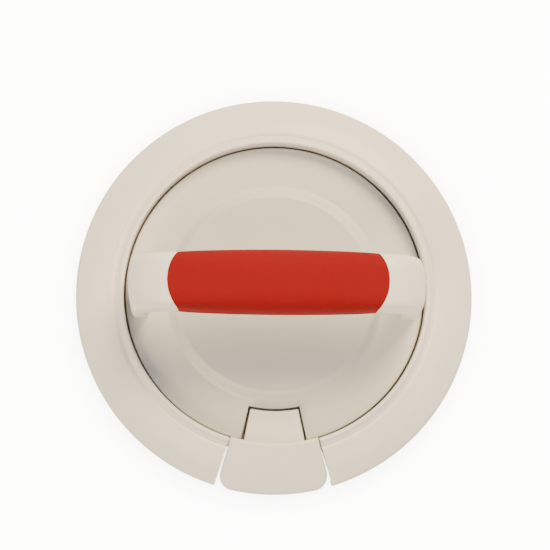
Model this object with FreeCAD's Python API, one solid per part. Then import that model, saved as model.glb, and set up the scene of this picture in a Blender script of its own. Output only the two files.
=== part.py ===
import FreeCAD, Part
import math
import os
from FreeCAD import Vector

# A hand press for one round patty, in millimetres. +Z is up, the handle runs along X, and the
# lift tab is at the front, -Y. The origin is on the table under the middle of the base.

# Driving dimensions: the base and its cavity.
RIM_R = 75.0
CAVITY_R = 56.7
LIP_TOP = 19.6
FLOOR_TOP = 3.0
FLOOR_UNDERSIDE = 1.2
PAN_WALL_R = 59.2
SKIRT_BOTTOM = 3.6
RIM_INNER_R = 59.4
RIM_SHOULDER_Z = 17.9
RIM_EDGE_Z = 8.6
RIM_RIBS = 14
RIB_THICKNESS = 1.6
END_RIB_INSET = 0.35
HOOK_HALF_WIDTH = 4.0
HOOK_STEP_ANGLE = 60
GATE_RECESS_R = 6.0
GATE_RECESS_DEPTH = 0.3
LOW_WALL_TOP = 15.0

# The feet.
FOOT_R = 5.4
FOOT_POCKET_R = 5.6
FOOT_POCKET_DEPTH = 0.6
FOOT_CIRCLE_R = 46.0

# The lift tray, its post and its tab.
TAB_HALF_ANGLE = 16.6
TAB_GAP_ANGLE = 0.6
TAB_INNER_R = 56.3
TAB_CORNER_R = 5.6
TAB_PROUD = 0.6
TRAY_R = 56.1
TRAY_BOTTOM = 3.2
TRAY_TOP = 4.8
POST_HALF_ANGLE = 11.6
POST_INNER_R = 44.2
POST_TOP = 17.0
NECK_BOTTOM = 15.6
NECK_OUTER_R = 58.2
POST_WALL = 1.6
POST_CORE_OUTER_R = 54.3
POST_CELLS = 3
CELL_ANGLE = 5.2
NOTCH_HALF_ANGLE = 12.8
NOTCH_INNER_R = 43.0

# The dimple insert, stored dome up.
INSERT_R = 54.5
INSERT_BOTTOM = 5.0
INSERT_TOP = 6.4
DOME_R = 11.5
DOME_TOP = 12.6
DOME_WALL = 1.4

# The press head.
PRESS_R = 56.0
FACE_BOTTOM = 6.7
FACE_FLOOR_TOP = 8.7
FACE_WALL = 1.8
FACE_TOP = 10.9
FACE_EDGE_R = 1.8
POCKET_R = 12.4
POCKET_WALL = 1.4
POCKET_CEILING = 13.2
GASKET_TOP = 11.4
PLATE_TOP = 13.2
PLATE_EDGE_R = 1.2
DECK_R = 37.5
DECK_SLOPE_R = 40.5
DECK_TOP = 16.8
SPIGOT_BOTTOM = 9.4
SPIGOT_CLEARANCE = 0.15
SPIGOT_WALL = 1.3

# The handle.
HANDLE_END_R = 54.3
HANDLE_HALF_WIDTH = 10.65
FOOT_HALF_WIDTH = 9.3
BAR_TOP = 59.9
BAR_CROWN = 61.0
BAR_BOTTOM = 38.5
SHOULDER_R = 16.0
LEG_INNER_X = 47.3
HAUNCH_R = 10.0
HANDLE_EDGE_R = 3.0
LEG_CORE_INNER_X = 49.4
LEG_CORE_OUTER_X = 52.2
LEG_CORE_HALF_WIDTH = 2.4
LEG_CORE_TOP = 36.0
PARTING_Z = 48.0
PARTING_GAP = 0.1
LOWER_SHELL_HALF_LENGTH = 38.0
GRIP_HALF_LENGTH = 40.1
GRIP_SIDE_HALF_LENGTH = 36.0
GRIP_END_R = 16.0
GRIP_ZONE_HALF_WIDTH = 12.5
GRIP_HALF_WIDTH = 11.75
GRIP_TOP = 61.6
GRIP_BOTTOM = 37.6
GRIP_EDGE_R = 6.0
CORE_HALF_WIDTH = 8.7
CORE_BOTTOM = 40.4
CORE_TOP = 58.8
CORE_HALF_LENGTH = 41.0
CORE_EDGE_R = 3.6
HANDLE_WALL = 2.2
VOID_HALF_LENGTH = 34.0

# Screws: pan heads, with the clearance that their holes have.
LEG_SCREW_X = 50.4
LEG_SCREW_Y = 5.5
LEG_SCREW_R = 1.5
LEG_SCREW_HEAD_R = 2.8
LEG_SCREW_HEAD_H = 2.0
LEG_SCREW_TIP = 26.0
GRIP_SCREW_X = 22.0
GRIP_SCREW_R = 1.45
GRIP_SCREW_HEAD_R = 3.2
GRIP_SCREW_HEAD_TOP = 43.0
GRIP_SCREW_TIP = 55.0
COUNTERBORE_R = 3.5
PLUG_TOP = 40.6
HOLE_CLEARANCE = 0.05
BOSS_R = 3.4

UP = Vector(0, 0, 1)
ORIGIN = Vector(0, 0, 0)


def section_face(start, steps):
    """Face in the XZ plane. A step is an end point, or (middle, end) for an arc."""
    here = Vector(start[0], 0, start[1])
    edges = []
    for step in steps + [start]:
        if isinstance(step[0], tuple):
            middle = Vector(step[0][0], 0, step[0][1])
            there = Vector(step[1][0], 0, step[1][1])
            edges.append(Part.Arc(here, middle, there).toShape())
        else:
            there = Vector(step[0], 0, step[1])
            edges.append(Part.LineSegment(here, there).toShape())
        here = there
    return Part.Face(Part.Wire(edges))


def turned(start, steps):
    """Solid of revolution about Z from a section with radius in X."""
    return section_face(start, steps).revolve(ORIGIN, UP, 360)


def disc(radius, low, high, x=0.0, y=0.0):
    return Part.makeCylinder(radius, high - low, Vector(x, y, low))


def block(x_low, x_high, y_low, y_high, z_low, z_high):
    size = (x_high - x_low, y_high - y_low, z_high - z_low)
    return Part.makeBox(*size, Vector(x_low, y_low, z_low))


def front_sector(r_in, r_out, low, high, half_angle):
    """Sector of a ring, centred on the front, -Y."""
    piece = Part.makeCylinder(r_out, high - low, Vector(0, 0, low), UP, 2 * half_angle)
    piece.rotate(ORIGIN, UP, -90 - half_angle)
    return piece.cut(disc(r_in, low - 1, high + 1))


def turned_about_z(shape, degrees):
    copy = shape.copy()
    copy.rotate(ORIGIN, UP, degrees)
    return copy


def front_notch(low, high, inset=0.0):
    """Space round the tray's post that the press head and the insert leave open."""
    half_angle = NOTCH_HALF_ANGLE + math.degrees(inset / NOTCH_INNER_R)
    return front_sector(NOTCH_INNER_R - inset, RIM_R, low, high, half_angle)


def keyed_disc(radius, low, high, inset=0.0):
    """Disc with the front notch that passes the tray's post, drawn inwards by inset."""
    return disc(radius - inset, low, high).cut(front_notch(low - 1, high + 1, inset))


def export(shape, node):
    solids = shape.Solids
    body = solids[0] if len(solids) == 1 else Part.makeCompound(solids)
    body.exportStep("parts/" + node + ".step")
    print(node, len(solids), body.isValid(), round(body.Volume / 1000, 2), "cm3")


def rim_skin(proud):
    """Top of the rim from its inner edge to the table side, raised by proud."""
    shoulder = (60.15, RIM_SHOULDER_Z + proud)
    crown = ((67.1, 15.0 + proud), (73.4, 10.9 + proud))
    roll = ((74.55, 10.0 + proud), (RIM_R, RIM_EDGE_Z))
    return shoulder, crown, roll


def base_rim():
    shoulder, crown, roll = rim_skin(0.0)
    ring = turned((RIM_INNER_R, 7.0), [
        (RIM_INNER_R, 17.2), (shoulder[0], 17.2), shoulder, crown, roll,
        (74.7, SKIRT_BOTTOM), (72.7, SKIRT_BOTTOM), (72.95, 8.4), (72.3, 9.3),
        (66.3, 13.2), (61.4, 15.45), (61.4, 7.0)])
    rib_face = section_face((60.4, 5.0), [
        (73.7, 5.0), (73.9, 8.0), (73.0, 9.8), (66.6, 14.2), (60.4, 16.4)])
    rib_face.translate(Vector(0, -RIB_THICKNESS / 2, 0))
    rib = rib_face.extrude(Vector(0, RIB_THICKNESS, 0))
    end_angle = TAB_HALF_ANGLE + TAB_GAP_ANGLE + END_RIB_INSET
    first = -90 + end_angle
    sweep = 360 - 2 * end_angle
    for index in range(RIM_RIBS + 1):
        ring = ring.fuse(turned_about_z(rib, first + sweep * index / RIM_RIBS))
    return ring.cut(front_sector(RIM_INNER_R - 1, RIM_R + 5, -1, 30, TAB_HALF_ANGLE + TAB_GAP_ANGLE))


def foot_centres():
    reach = FOOT_CIRCLE_R * math.sqrt(0.5)
    return {"foot_front_left": (-reach, -reach), "foot_front_right": (reach, -reach),
            "foot_rear_left": (-reach, reach), "foot_rear_right": (reach, reach)}


def base_pan():
    wall_r = PAN_WALL_R
    pan = turned((0, FLOOR_UNDERSIDE), [
        (wall_r - 1.6, FLOOR_UNDERSIDE),
        ((wall_r - 0.47, FLOOR_UNDERSIDE + 0.47), (wall_r, FLOOR_UNDERSIDE + 1.6)),
        (wall_r, 17.3), (60.0, 17.3), (60.0, 17.85), (58.8, 19.1),
        ((57.75, LIP_TOP), (CAVITY_R, 18.9)), (CAVITY_R, FLOOR_TOP + 0.6),
        ((CAVITY_R - 0.18, FLOOR_TOP + 0.18), (CAVITY_R - 0.6, FLOOR_TOP)), (0, FLOOR_TOP)])
    hook_face = section_face((wall_r - 0.4, 5.2), [(60.3, 6.9), (wall_r - 0.4, 6.9)])
    hook_face.translate(Vector(0, -HOOK_HALF_WIDTH, 0))
    hook = hook_face.extrude(Vector(0, 2 * HOOK_HALF_WIDTH, 0))
    for angle in range(0, 360, HOOK_STEP_ANGLE):
        pan = pan.fuse(turned_about_z(hook, angle))
    for x, y in foot_centres().values():
        pan = pan.cut(disc(FOOT_POCKET_R, 0, FLOOR_UNDERSIDE + FOOT_POCKET_DEPTH, x, y))
    gate = disc(GATE_RECESS_R, 0, FLOOR_UNDERSIDE + GATE_RECESS_DEPTH)
    opening = front_sector(CAVITY_R - 1, RIM_INNER_R + 2, LOW_WALL_TOP, 30, TAB_HALF_ANGLE + TAB_GAP_ANGLE)
    return pan.cut(gate).cut(opening)


def foot(x, y):
    pad = disc(FOOT_R, 0, FLOOR_UNDERSIDE + FOOT_POCKET_DEPTH, x, y)
    lower = [edge for edge in pad.Edges if edge.BoundBox.ZMax < 0.01]
    return pad.makeChamfer(0.35, lower)


def rounded_sector(r_in, r_out, low, high, half_angle, corner_r):
    piece = front_sector(r_in, r_out, low, high, half_angle)
    corners = []
    for edge in piece.Edges:
        middle = edge.CenterOfMass
        upright = edge.BoundBox.ZLength > 0.9 * (high - low)
        if upright and math.hypot(middle.x, middle.y) > r_out - 0.1:
            corners.append(edge)
    return piece.makeFillet(corner_r, corners)


def lift_tray():
    plate = disc(TRAY_R, TRAY_BOTTOM, TRAY_TOP)
    post = front_sector(POST_INNER_R, TRAY_R, TRAY_BOTTOM, POST_TOP, POST_HALF_ANGLE)
    neck = front_sector(TRAY_R - 1, NECK_OUTER_R, NECK_BOTTOM, POST_TOP, POST_HALF_ANGLE)
    tray = plate.fuse(post).fuse(neck)

    # The tab: a hollow hood with the rim's own profile, a little proud of it.
    shoulder, crown, roll = rim_skin(TAB_PROUD)
    hood = turned((TAB_INNER_R, 16.2), [
        (TAB_INNER_R, 18.9), ((TAB_INNER_R + 0.3, 19.5), (TAB_INNER_R + 1.0, 19.7)),
        (57.6, 19.5), ((58.9, 19.1), shoulder), crown, roll,
        (74.9, 6.4), (59.5, 15.6)])
    hood = hood.common(rounded_sector(TAB_INNER_R - 1, RIM_R, 0, 30, TAB_HALF_ANGLE, TAB_CORNER_R))
    hollow = turned((61.2, 5.0), [
        (61.2, 16.0), ((66.0, 13.75), (72.2, 9.9)), ((72.9, 9.3), (73.2, 8.4)), (73.2, 5.0)])
    hollow = hollow.common(rounded_sector(60, 73.2, 0, 30, TAB_HALF_ANGLE - 1.6, TAB_CORNER_R - 1.8))
    tray = tray.fuse(hood.cut(hollow))

    # Cores that hollow the post from below, with a rib between each two.
    step = (2 * POST_HALF_ANGLE - CELL_ANGLE) / POST_CELLS
    for index in range(POST_CELLS):
        cell = front_sector(
            POST_INNER_R + POST_WALL, POST_CORE_OUTER_R, 0, POST_TOP - POST_WALL, CELL_ANGLE / 2)
        tray = tray.cut(turned_about_z(cell, step * (index - (POST_CELLS - 1) / 2)))
    return tray


def dome_cap(radius, base, top):
    """Ball cap on the Z axis, with its ball: it has that radius at the height base."""
    height = top - base
    ball_r = (radius ** 2 + height ** 2) / (2 * height)
    ball = Part.makeSphere(ball_r, Vector(0, 0, top - ball_r))
    return ball.common(disc(ball_r, base, top + 1))


def dimple_insert():
    plate = disc(INSERT_R, INSERT_BOTTOM, INSERT_TOP)
    lower = [edge for edge in plate.Edges if edge.BoundBox.ZMax < INSERT_BOTTOM + 0.01]
    plate = plate.makeChamfer(0.4, lower)
    insert = plate.fuse(dome_cap(DOME_R, INSERT_TOP - 0.4, DOME_TOP))
    insert = insert.cut(dome_cap(DOME_R - DOME_WALL, INSERT_BOTTOM - 0.4, DOME_TOP - DOME_WALL))
    return insert.cut(front_notch(0, 30))


def press_face():
    shell = turned((0, FACE_BOTTOM), [
        (PRESS_R - FACE_EDGE_R, FACE_BOTTOM),
        ((PRESS_R - 0.53, FACE_BOTTOM + 0.53), (PRESS_R, FACE_BOTTOM + FACE_EDGE_R)),
        (PRESS_R, FACE_TOP), (0, FACE_TOP)])
    shell = shell.common(keyed_disc(PRESS_R + 1, FACE_BOTTOM, FACE_TOP))
    shell = shell.cut(keyed_disc(PRESS_R, FACE_FLOOR_TOP, FACE_TOP + 1, FACE_WALL))
    shell = shell.fuse(disc(POCKET_R + POCKET_WALL, FACE_BOTTOM, POCKET_CEILING + POCKET_WALL))
    shell = shell.cut(disc(POCKET_R, FACE_BOTTOM - 1, POCKET_CEILING))
    mouth = [edge for edge in shell.Edges if edge.BoundBox.ZMax < FACE_BOTTOM + 0.01
             and edge.BoundBox.XLength < 2.1 * POCKET_R and edge.BoundBox.YLength > POCKET_R]
    return shell.makeFillet(1.0, mouth)


def press_gasket():
    outer = keyed_disc(PRESS_R, FACE_TOP, GASKET_TOP, 0.2)
    return outer.cut(keyed_disc(PRESS_R, FACE_TOP - 1, GASKET_TOP + 1, FACE_WALL - 0.2))


def leg_screw_centres(side):
    return [(side * LEG_SCREW_X, LEG_SCREW_Y), (side * LEG_SCREW_X, -LEG_SCREW_Y)]


def press_top_plate():
    skin = PLATE_TOP - GASKET_TOP
    plate = turned((0, GASKET_TOP), [
        (PRESS_R, GASKET_TOP), (PRESS_R, PLATE_TOP - PLATE_EDGE_R),
        ((PRESS_R - 0.35, PLATE_TOP - 0.35), (PRESS_R - PLATE_EDGE_R, PLATE_TOP)),
        (DECK_SLOPE_R, PLATE_TOP), (DECK_R, DECK_TOP), (0, DECK_TOP)])
    under = turned((0, GASKET_TOP - 1), [
        (DECK_SLOPE_R - 1.9, GASKET_TOP - 1), (DECK_SLOPE_R - 1.9, GASKET_TOP),
        (DECK_R - 1.4, DECK_TOP - skin), (0, DECK_TOP - skin)])
    plate = plate.cut(under).common(keyed_disc(PRESS_R + 1, GASKET_TOP, DECK_TOP))
    spigot_inset = FACE_WALL + SPIGOT_CLEARANCE
    spigot = keyed_disc(PRESS_R, SPIGOT_BOTTOM, GASKET_TOP, spigot_inset)
    spigot = spigot.cut(keyed_disc(PRESS_R, SPIGOT_BOTTOM - 1, GASKET_TOP + 1, spigot_inset + SPIGOT_WALL))
    plate = plate.fuse(spigot)
    for side in (-1, 1):
        for x, y in leg_screw_centres(side):
            plate = plate.cut(disc(LEG_SCREW_R + 0.2, 5, 20, x, y))
            plate = plate.cut(disc(LEG_SCREW_HEAD_R + 0.3, 5, GASKET_TOP, x, y))
    return plate


def handle_arch():
    """White envelope of the handle: both legs and the bar, with softened edges."""
    far = HANDLE_END_R + 0.6
    turn = math.sqrt(0.5)
    shoulder_x = far - SHOULDER_R
    shoulder_z = BAR_TOP - SHOULDER_R
    shoulder_middle = (shoulder_x + SHOULDER_R * turn, shoulder_z + SHOULDER_R * turn)
    haunch_x = LEG_INNER_X - HAUNCH_R
    haunch_z = BAR_BOTTOM - HAUNCH_R
    haunch_middle = (haunch_x + HAUNCH_R * turn, haunch_z + HAUNCH_R * turn)
    outline = section_face((-far, PLATE_TOP), [
        (-far, shoulder_z),
        ((-shoulder_middle[0], shoulder_middle[1]), (-shoulder_x, BAR_TOP)),
        ((0, BAR_CROWN), (shoulder_x, BAR_TOP)),
        (shoulder_middle, (far, shoulder_z)),
        (far, PLATE_TOP), (LEG_INNER_X, PLATE_TOP), (LEG_INNER_X, haunch_z),
        (haunch_middle, (haunch_x, BAR_BOTTOM)),
        (-haunch_x, BAR_BOTTOM),
        ((-haunch_middle[0], haunch_middle[1]), (-LEG_INNER_X, haunch_z)),
        (-LEG_INNER_X, PLATE_TOP)])
    outline.translate(Vector(0, -20, 0))
    bar = outline.extrude(Vector(0, 40, 0))
    corners = [(-FOOT_HALF_WIDTH, PLATE_TOP), (-HANDLE_HALF_WIDTH, BAR_CROWN + 1),
               (HANDLE_HALF_WIDTH, BAR_CROWN + 1), (FOOT_HALF_WIDTH, PLATE_TOP)]
    across = [Vector(-70, y, z) for y, z in corners]
    sides = Part.Face(Part.makePolygon(across + across[:1])).extrude(Vector(140, 0, 0))
    bar = bar.common(sides).common(disc(HANDLE_END_R, PLATE_TOP, 70))
    soft = [edge for edge in bar.Edges if edge.BoundBox.ZMax > PLATE_TOP + 0.1
            and edge.BoundBox.YLength < 0.9 * FOOT_HALF_WIDTH
            and abs(edge.CenterOfMass.y) > 0.9 * FOOT_HALF_WIDTH]
    return bar.makeFillet(HANDLE_EDGE_R, soft)


def grip_zone():
    """The spaces above and below the parting that the soft grips take up."""
    half = GRIP_ZONE_HALF_WIDTH
    reach = GRIP_HALF_LENGTH - GRIP_END_R + math.sqrt(GRIP_END_R ** 2 - half ** 2)
    points = [Vector(x, y, 0) for x, y in ((-reach, -half), (reach, -half), (reach, half), (-reach, half))]
    right = Part.Arc(points[1], Vector(GRIP_HALF_LENGTH, 0, 0), points[2]).toShape()
    left = Part.Arc(points[3], Vector(-GRIP_HALF_LENGTH, 0, 0), points[0]).toShape()
    front = Part.LineSegment(points[0], points[1]).toShape()
    back = Part.LineSegment(points[2], points[3]).toShape()
    upper = Part.Face(Part.Wire([front, right, back, left]))
    upper.translate(Vector(0, 0, PARTING_Z))
    lower = block(-GRIP_SIDE_HALF_LENGTH, GRIP_SIDE_HALF_LENGTH, -half, half, 30, PARTING_Z)
    return upper.extrude(Vector(0, 0, 20)), lower


def grip_barrel():
    """Outer form of the soft grip: a little wider and taller in the middle."""
    end = GRIP_HALF_LENGTH + 1
    side = section_face((-end, BAR_BOTTOM), [
        ((0, GRIP_BOTTOM), (end, BAR_BOTTOM)), (end, BAR_TOP), ((0, GRIP_TOP), (-end, BAR_TOP))])
    side.translate(Vector(0, -20, 0))
    tall = side.extrude(Vector(0, 40, 0))
    below = BAR_BOTTOM - 8
    wide = HANDLE_HALF_WIDTH
    corners = [Vector(x, y, below) for x, y in ((-end, -wide), (end, -wide), (end, wide), (-end, wide))]
    front = Part.Arc(corners[0], Vector(0, -GRIP_HALF_WIDTH, below), corners[1]).toShape()
    back = Part.Arc(corners[2], Vector(0, GRIP_HALF_WIDTH, below), corners[3]).toShape()
    right = Part.LineSegment(corners[1], corners[2]).toShape()
    left = Part.LineSegment(corners[3], corners[0]).toShape()
    plan = Part.Face(Part.Wire([front, right, back, left]))
    barrel = tall.common(plan.extrude(Vector(0, 0, 40)))
    long_edges = [edge for edge in barrel.Edges if edge.BoundBox.XLength > end]
    return barrel.makeFillet(GRIP_EDGE_R, long_edges)


def handle_core():
    """The bar of the white shells inside the soft grip, before it is hollowed."""
    length = CORE_HALF_LENGTH
    core = block(-length, length, -CORE_HALF_WIDTH, CORE_HALF_WIDTH, CORE_BOTTOM, CORE_TOP)
    long_edges = [edge for edge in core.Edges if edge.BoundBox.XLength > CORE_HALF_LENGTH]
    return core.makeFillet(CORE_EDGE_R, long_edges)


def handle_pieces():
    """The two white shells and the two soft grips that are moulded on them."""
    zone_upper, zone_lower = grip_zone()
    core = handle_core()
    white = handle_arch().cut(zone_upper).cut(zone_lower).fuse(core)

    half = CORE_HALF_WIDTH - HANDLE_WALL
    low = CORE_BOTTOM + HANDLE_WALL
    white = white.cut(block(-VOID_HALF_LENGTH, VOID_HALF_LENGTH, -half, half, low, CORE_TOP - HANDLE_WALL))

    lower_block = block(-LOWER_SHELL_HALF_LENGTH, LOWER_SHELL_HALF_LENGTH, -20, 20, 30, PARTING_Z)
    wide = LOWER_SHELL_HALF_LENGTH + PARTING_GAP
    clearance_block = block(-wide, wide, -20, 20, 29, PARTING_Z + PARTING_GAP)
    upper = white.cut(clearance_block)
    lower = white.common(lower_block)
    for side in (-1, 1):
        x = side * GRIP_SCREW_X
        upper = upper.fuse(disc(BOSS_R, PARTING_Z - 3.2, CORE_TOP - 1, x))
        upper = upper.cut(disc(GRIP_SCREW_R + HOLE_CLEARANCE, 40, GRIP_SCREW_TIP + 0.5, x))
        lower = lower.fuse(disc(BOSS_R + 1.6, CORE_BOTTOM, PARTING_Z - 3.4, x))
        lower = lower.cut(disc(GRIP_SCREW_R + 0.15, 30, 60, x))
        lower = lower.cut(disc(COUNTERBORE_R, 30, GRIP_SCREW_HEAD_TOP, x))
        for screw_x, screw_y in leg_screw_centres(side):
            upper = upper.cut(disc(LEG_SCREW_R + HOLE_CLEARANCE, 5, LEG_SCREW_TIP + 1, screw_x, screw_y))
        near, far = sorted((side * LEG_CORE_INNER_X, side * LEG_CORE_OUTER_X))
        upper = upper.cut(block(near, far, -LEG_CORE_HALF_WIDTH, LEG_CORE_HALF_WIDTH, 5, LEG_CORE_TOP))

    barrel = grip_barrel()
    grip_upper = barrel.common(zone_upper).cut(core)
    grip_lower = barrel.common(zone_lower).cut(core)
    for side in (-1, 1):
        grip_lower = grip_lower.cut(disc(COUNTERBORE_R, 30, 45, side * GRIP_SCREW_X))
    return upper, lower, grip_upper, grip_lower


def pan_head_screw(x, y, head_low, head_high, head_r, shank_r, tip):
    """Screw that points up, with a cross recess in the underside of its head."""
    head = disc(head_r, head_low, head_high, x, y)
    rim = [edge for edge in head.Edges if edge.BoundBox.ZMax < head_low + 0.01]
    head = head.makeFillet(0.8, rim)
    reach = 0.55 * head_r
    for length, width in ((reach, 0.5), (0.5, reach)):
        head = head.cut(block(x - length, x + length, y - width, y + width, head_low - 1, head_low + 1.2))
    shank = disc(shank_r, head_high, tip - 1.5, x, y)
    point = Part.makeCone(shank_r, 0.6, 1.5, Vector(x, y, tip - 1.5))
    return head.fuse(shank).fuse(point)


def leg_screws(side):
    low = GASKET_TOP - LEG_SCREW_HEAD_H
    screws = [pan_head_screw(x, y, low, GASKET_TOP, LEG_SCREW_HEAD_R, LEG_SCREW_R, LEG_SCREW_TIP)
              for x, y in leg_screw_centres(side)]
    return Part.makeCompound(screws)


def grip_screws():
    low = GRIP_SCREW_HEAD_TOP - LEG_SCREW_HEAD_H
    screws = [pan_head_screw(side * GRIP_SCREW_X, 0, low, GRIP_SCREW_HEAD_TOP,
                             GRIP_SCREW_HEAD_R, GRIP_SCREW_R, GRIP_SCREW_TIP) for side in (-1, 1)]
    return Part.makeCompound(screws)


def screw_plug(side):
    plug = disc(COUNTERBORE_R - HOLE_CLEARANCE, 30, PLUG_TOP, side * GRIP_SCREW_X)
    return plug.common(grip_barrel())


def main():
    os.makedirs("parts", exist_ok=True)
    export(base_rim(), "base_rim")
    export(base_pan(), "base_pan")
    for node, (x, y) in foot_centres().items():
        export(foot(x, y), node)
    export(lift_tray(), "lift_tray")
    export(dimple_insert(), "dimple_insert")
    export(press_face(), "press_face")
    export(press_gasket(), "press_gasket")
    export(press_top_plate(), "press_top_plate")
    upper, lower, grip_upper, grip_lower = handle_pieces()
    export(upper, "handle_upper_shell")
    export(lower, "handle_lower_shell")
    export(grip_upper, "grip_upper")
    export(grip_lower, "grip_lower")
    export(leg_screws(-1), "leg_screws_left")
    export(leg_screws(1), "leg_screws_right")
    export(grip_screws(), "grip_screws")
    export(screw_plug(-1), "screw_plug_left")
    export(screw_plug(1), "screw_plug_right")


main()
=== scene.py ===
import math

import bmesh
import bpy
from mathutils import Matrix, Vector


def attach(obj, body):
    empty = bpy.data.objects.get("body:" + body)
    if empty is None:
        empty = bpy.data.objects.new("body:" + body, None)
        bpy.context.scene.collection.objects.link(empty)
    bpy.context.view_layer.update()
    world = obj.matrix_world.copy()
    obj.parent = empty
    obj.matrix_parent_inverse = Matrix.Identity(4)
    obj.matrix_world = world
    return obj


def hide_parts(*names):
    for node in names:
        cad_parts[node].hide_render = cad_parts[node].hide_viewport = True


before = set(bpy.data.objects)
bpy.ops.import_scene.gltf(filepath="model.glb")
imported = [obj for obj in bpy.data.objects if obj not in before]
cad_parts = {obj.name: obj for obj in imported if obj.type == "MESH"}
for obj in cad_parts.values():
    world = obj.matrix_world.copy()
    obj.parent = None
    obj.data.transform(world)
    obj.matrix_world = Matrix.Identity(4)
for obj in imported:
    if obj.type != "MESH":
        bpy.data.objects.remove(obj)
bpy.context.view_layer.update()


# ---------------------------------------------------------------------------------------------
# The worktop and the studio. The press stands on a plain white sweep under one large soft box
# behind it, a weaker one in front, and an even white surround. The sweep glows evenly white to the
# camera, but close round the press its glow is dimmed: a painted contact shadow. The camera looks
# almost straight down on it from a metre away through a long lens, leaning a little to the front
# and the left.
# ---------------------------------------------------------------------------------------------

MM = 0.001


def srgb(code):
    """Linear RGBA of a hex colour."""
    parts = [int(code[i:i + 2], 16) / 255 for i in (1, 3, 5)]
    return [p / 12.92 if p <= 0.04045 else ((p + 0.055) / 1.055) ** 2.4 for p in parts] + [1.0]


def add_node(tree, kind, settings=None, values=None, links=None):
    """A new node with its settings, its inputs' values and the sockets linked to its inputs."""
    node = tree.nodes.new(kind)
    for name, value in (settings or {}).items():
        setattr(node, name, value)
    for name, value in (values or {}).items():
        node.inputs[name].default_value = value
    for name, socket in (links or {}).items():
        tree.links.new(socket, node.inputs[name])
    return node


def put_in_scene(name, data):
    thing = bpy.data.objects.new(name, data)
    bpy.context.scene.collection.objects.link(thing)
    return thing


def soft_box(name, place, target, size, power):
    lamp = bpy.data.lights.new(name, "AREA")
    lamp.shape = "DISK"
    lamp.size = size
    lamp.energy = power
    lamp.color = srgb(LAMP_COLOUR)[:3]
    thing = put_in_scene(name, lamp)
    aim = (Vector(target) - Vector(place)).to_track_quat("-Z", "Y")
    thing.matrix_world = Matrix.Translation(place) @ aim.to_matrix().to_4x4()


LAMP_COLOUR = "#ffe0ac"
CAMERA_PLACE = (-0.0297, -0.1149, 1.0)
CAMERA_TILT = math.radians(7.05)
CAMERA_LEAN = math.radians(-1.78)
CAMERA_ROLL = math.radians(0.52)
LENS = 172.8

lens = bpy.data.cameras.new("camera")
lens.lens = LENS
lens.sensor_width = 36
lens.clip_start = 0.01
camera = put_in_scene("camera", lens)
turn = (Matrix.Rotation(CAMERA_ROLL, 4, "Z") @ Matrix.Rotation(CAMERA_TILT, 4, "X")
        @ Matrix.Rotation(CAMERA_LEAN, 4, "Y"))
camera.matrix_world = Matrix.Translation(CAMERA_PLACE) @ turn
bpy.context.scene.camera = camera

MIDDLE = (0, 0, 0.02)
soft_box("soft_box_back", (0.7, 1.5, 1.9), MIDDLE, 1.4, 140.0)
soft_box("soft_box_front", (-1.0, -1.5, 1.7), MIDDLE, 1.5, 62.0)

SURROUND_STRENGTH = 0.6
surround = bpy.data.worlds.new("surround")
surround.use_nodes = True
surround_light = surround.node_tree.nodes["Background"]
surround_light.inputs["Color"].default_value = srgb("#f6f7fb")
surround_light.inputs["Strength"].default_value = SURROUND_STRENGTH
bpy.context.scene.world = surround

SWEEP_SIZE = 8.0
# Reach of the painted contact shadow round the press, and the sweep's glow inside it and in the
# open.
PAINTED_SHADOW_REACH = 0.03
GLOW_IN_PAINTED_SHADOW = 2.5
GLOW_IN_THE_OPEN = 12.0
sweep_mesh = bpy.data.meshes.new("sweep")
half = SWEEP_SIZE / 2
sweep_corners = [(-half, -half, 0), (half, -half, 0), (half, half, 0), (-half, half, 0)]
sweep_mesh.from_pydata(sweep_corners, [], [(0, 1, 2, 3)])
sweep = put_in_scene("sweep", sweep_mesh)
paper = bpy.data.materials.new("white_backdrop_paper")
paper.use_nodes = True
paper_shader = paper.node_tree.nodes["Principled BSDF"]
paper_shader.inputs["Base Color"].default_value = srgb("#f6f5f3")
paper_shader.inputs["Roughness"].default_value = 0.9
paper_shader.inputs["Emission Color"].default_value = srgb("#ffffff")
# The sweep glows for the camera only; ambient occlusion dims that glow near the press to paint a
# soft contact shadow.
paper_seen = add_node(paper.node_tree, "ShaderNodeLightPath").outputs["Is Camera Ray"]
paper_painted_shadow = add_node(paper.node_tree, "ShaderNodeAmbientOcclusion", {"samples": 8},
                      {"Distance": PAINTED_SHADOW_REACH})
paper_glow_with_painted_shadow = add_node(paper.node_tree, "ShaderNodeMapRange",
                      values={"To Min": GLOW_IN_PAINTED_SHADOW, "To Max": GLOW_IN_THE_OPEN},
                      links={"Value": paper_painted_shadow.outputs["AO"]})
paper_light = add_node(paper.node_tree, "ShaderNodeMath", {"operation": "MULTIPLY"})
paper.node_tree.links.new(paper_seen, paper_light.inputs[0])
paper.node_tree.links.new(paper_glow_with_painted_shadow.outputs["Result"], paper_light.inputs[1])
paper.node_tree.links.new(paper_light.outputs[0], paper_shader.inputs["Emission Strength"])
sweep_mesh.materials.append(paper)


# ---------------------------------------------------------------------------------------------
# Rim of the base. One injection moulding in white polypropylene: a convex ring that rolls over
# into a short skirt, open underneath, with a gap at the front for the lift tab. The tool has a
# fine satin texture, so it shows soft, broad highlights and no gloss.
# ---------------------------------------------------------------------------------------------

RIM_R = 75.0
RIM_INNER_R = 59.4
SKIRT_BOTTOM = 3.6
WALL_FOOT = 7.0
SEAM_R = 60.15
GAP_HALF_ANGLE = math.radians(17.2)
FRONT = -math.pi / 2
COLUMN_ANGLE = math.radians(1.4)

# The grain and the drift of tint that all of the plastics share.
GRAIN = 0.55 * MM
TINT_PATCH = 26 * MM
GLOSS_DRIFT = 0.05
PLASTIC_IOR = 1.49

# Points closer than the weld distance are one point; an edge sharper than the corner angle is
# softened.
WELD = 0.001 * MM
CORNER_ANGLE = 0.6


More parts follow.
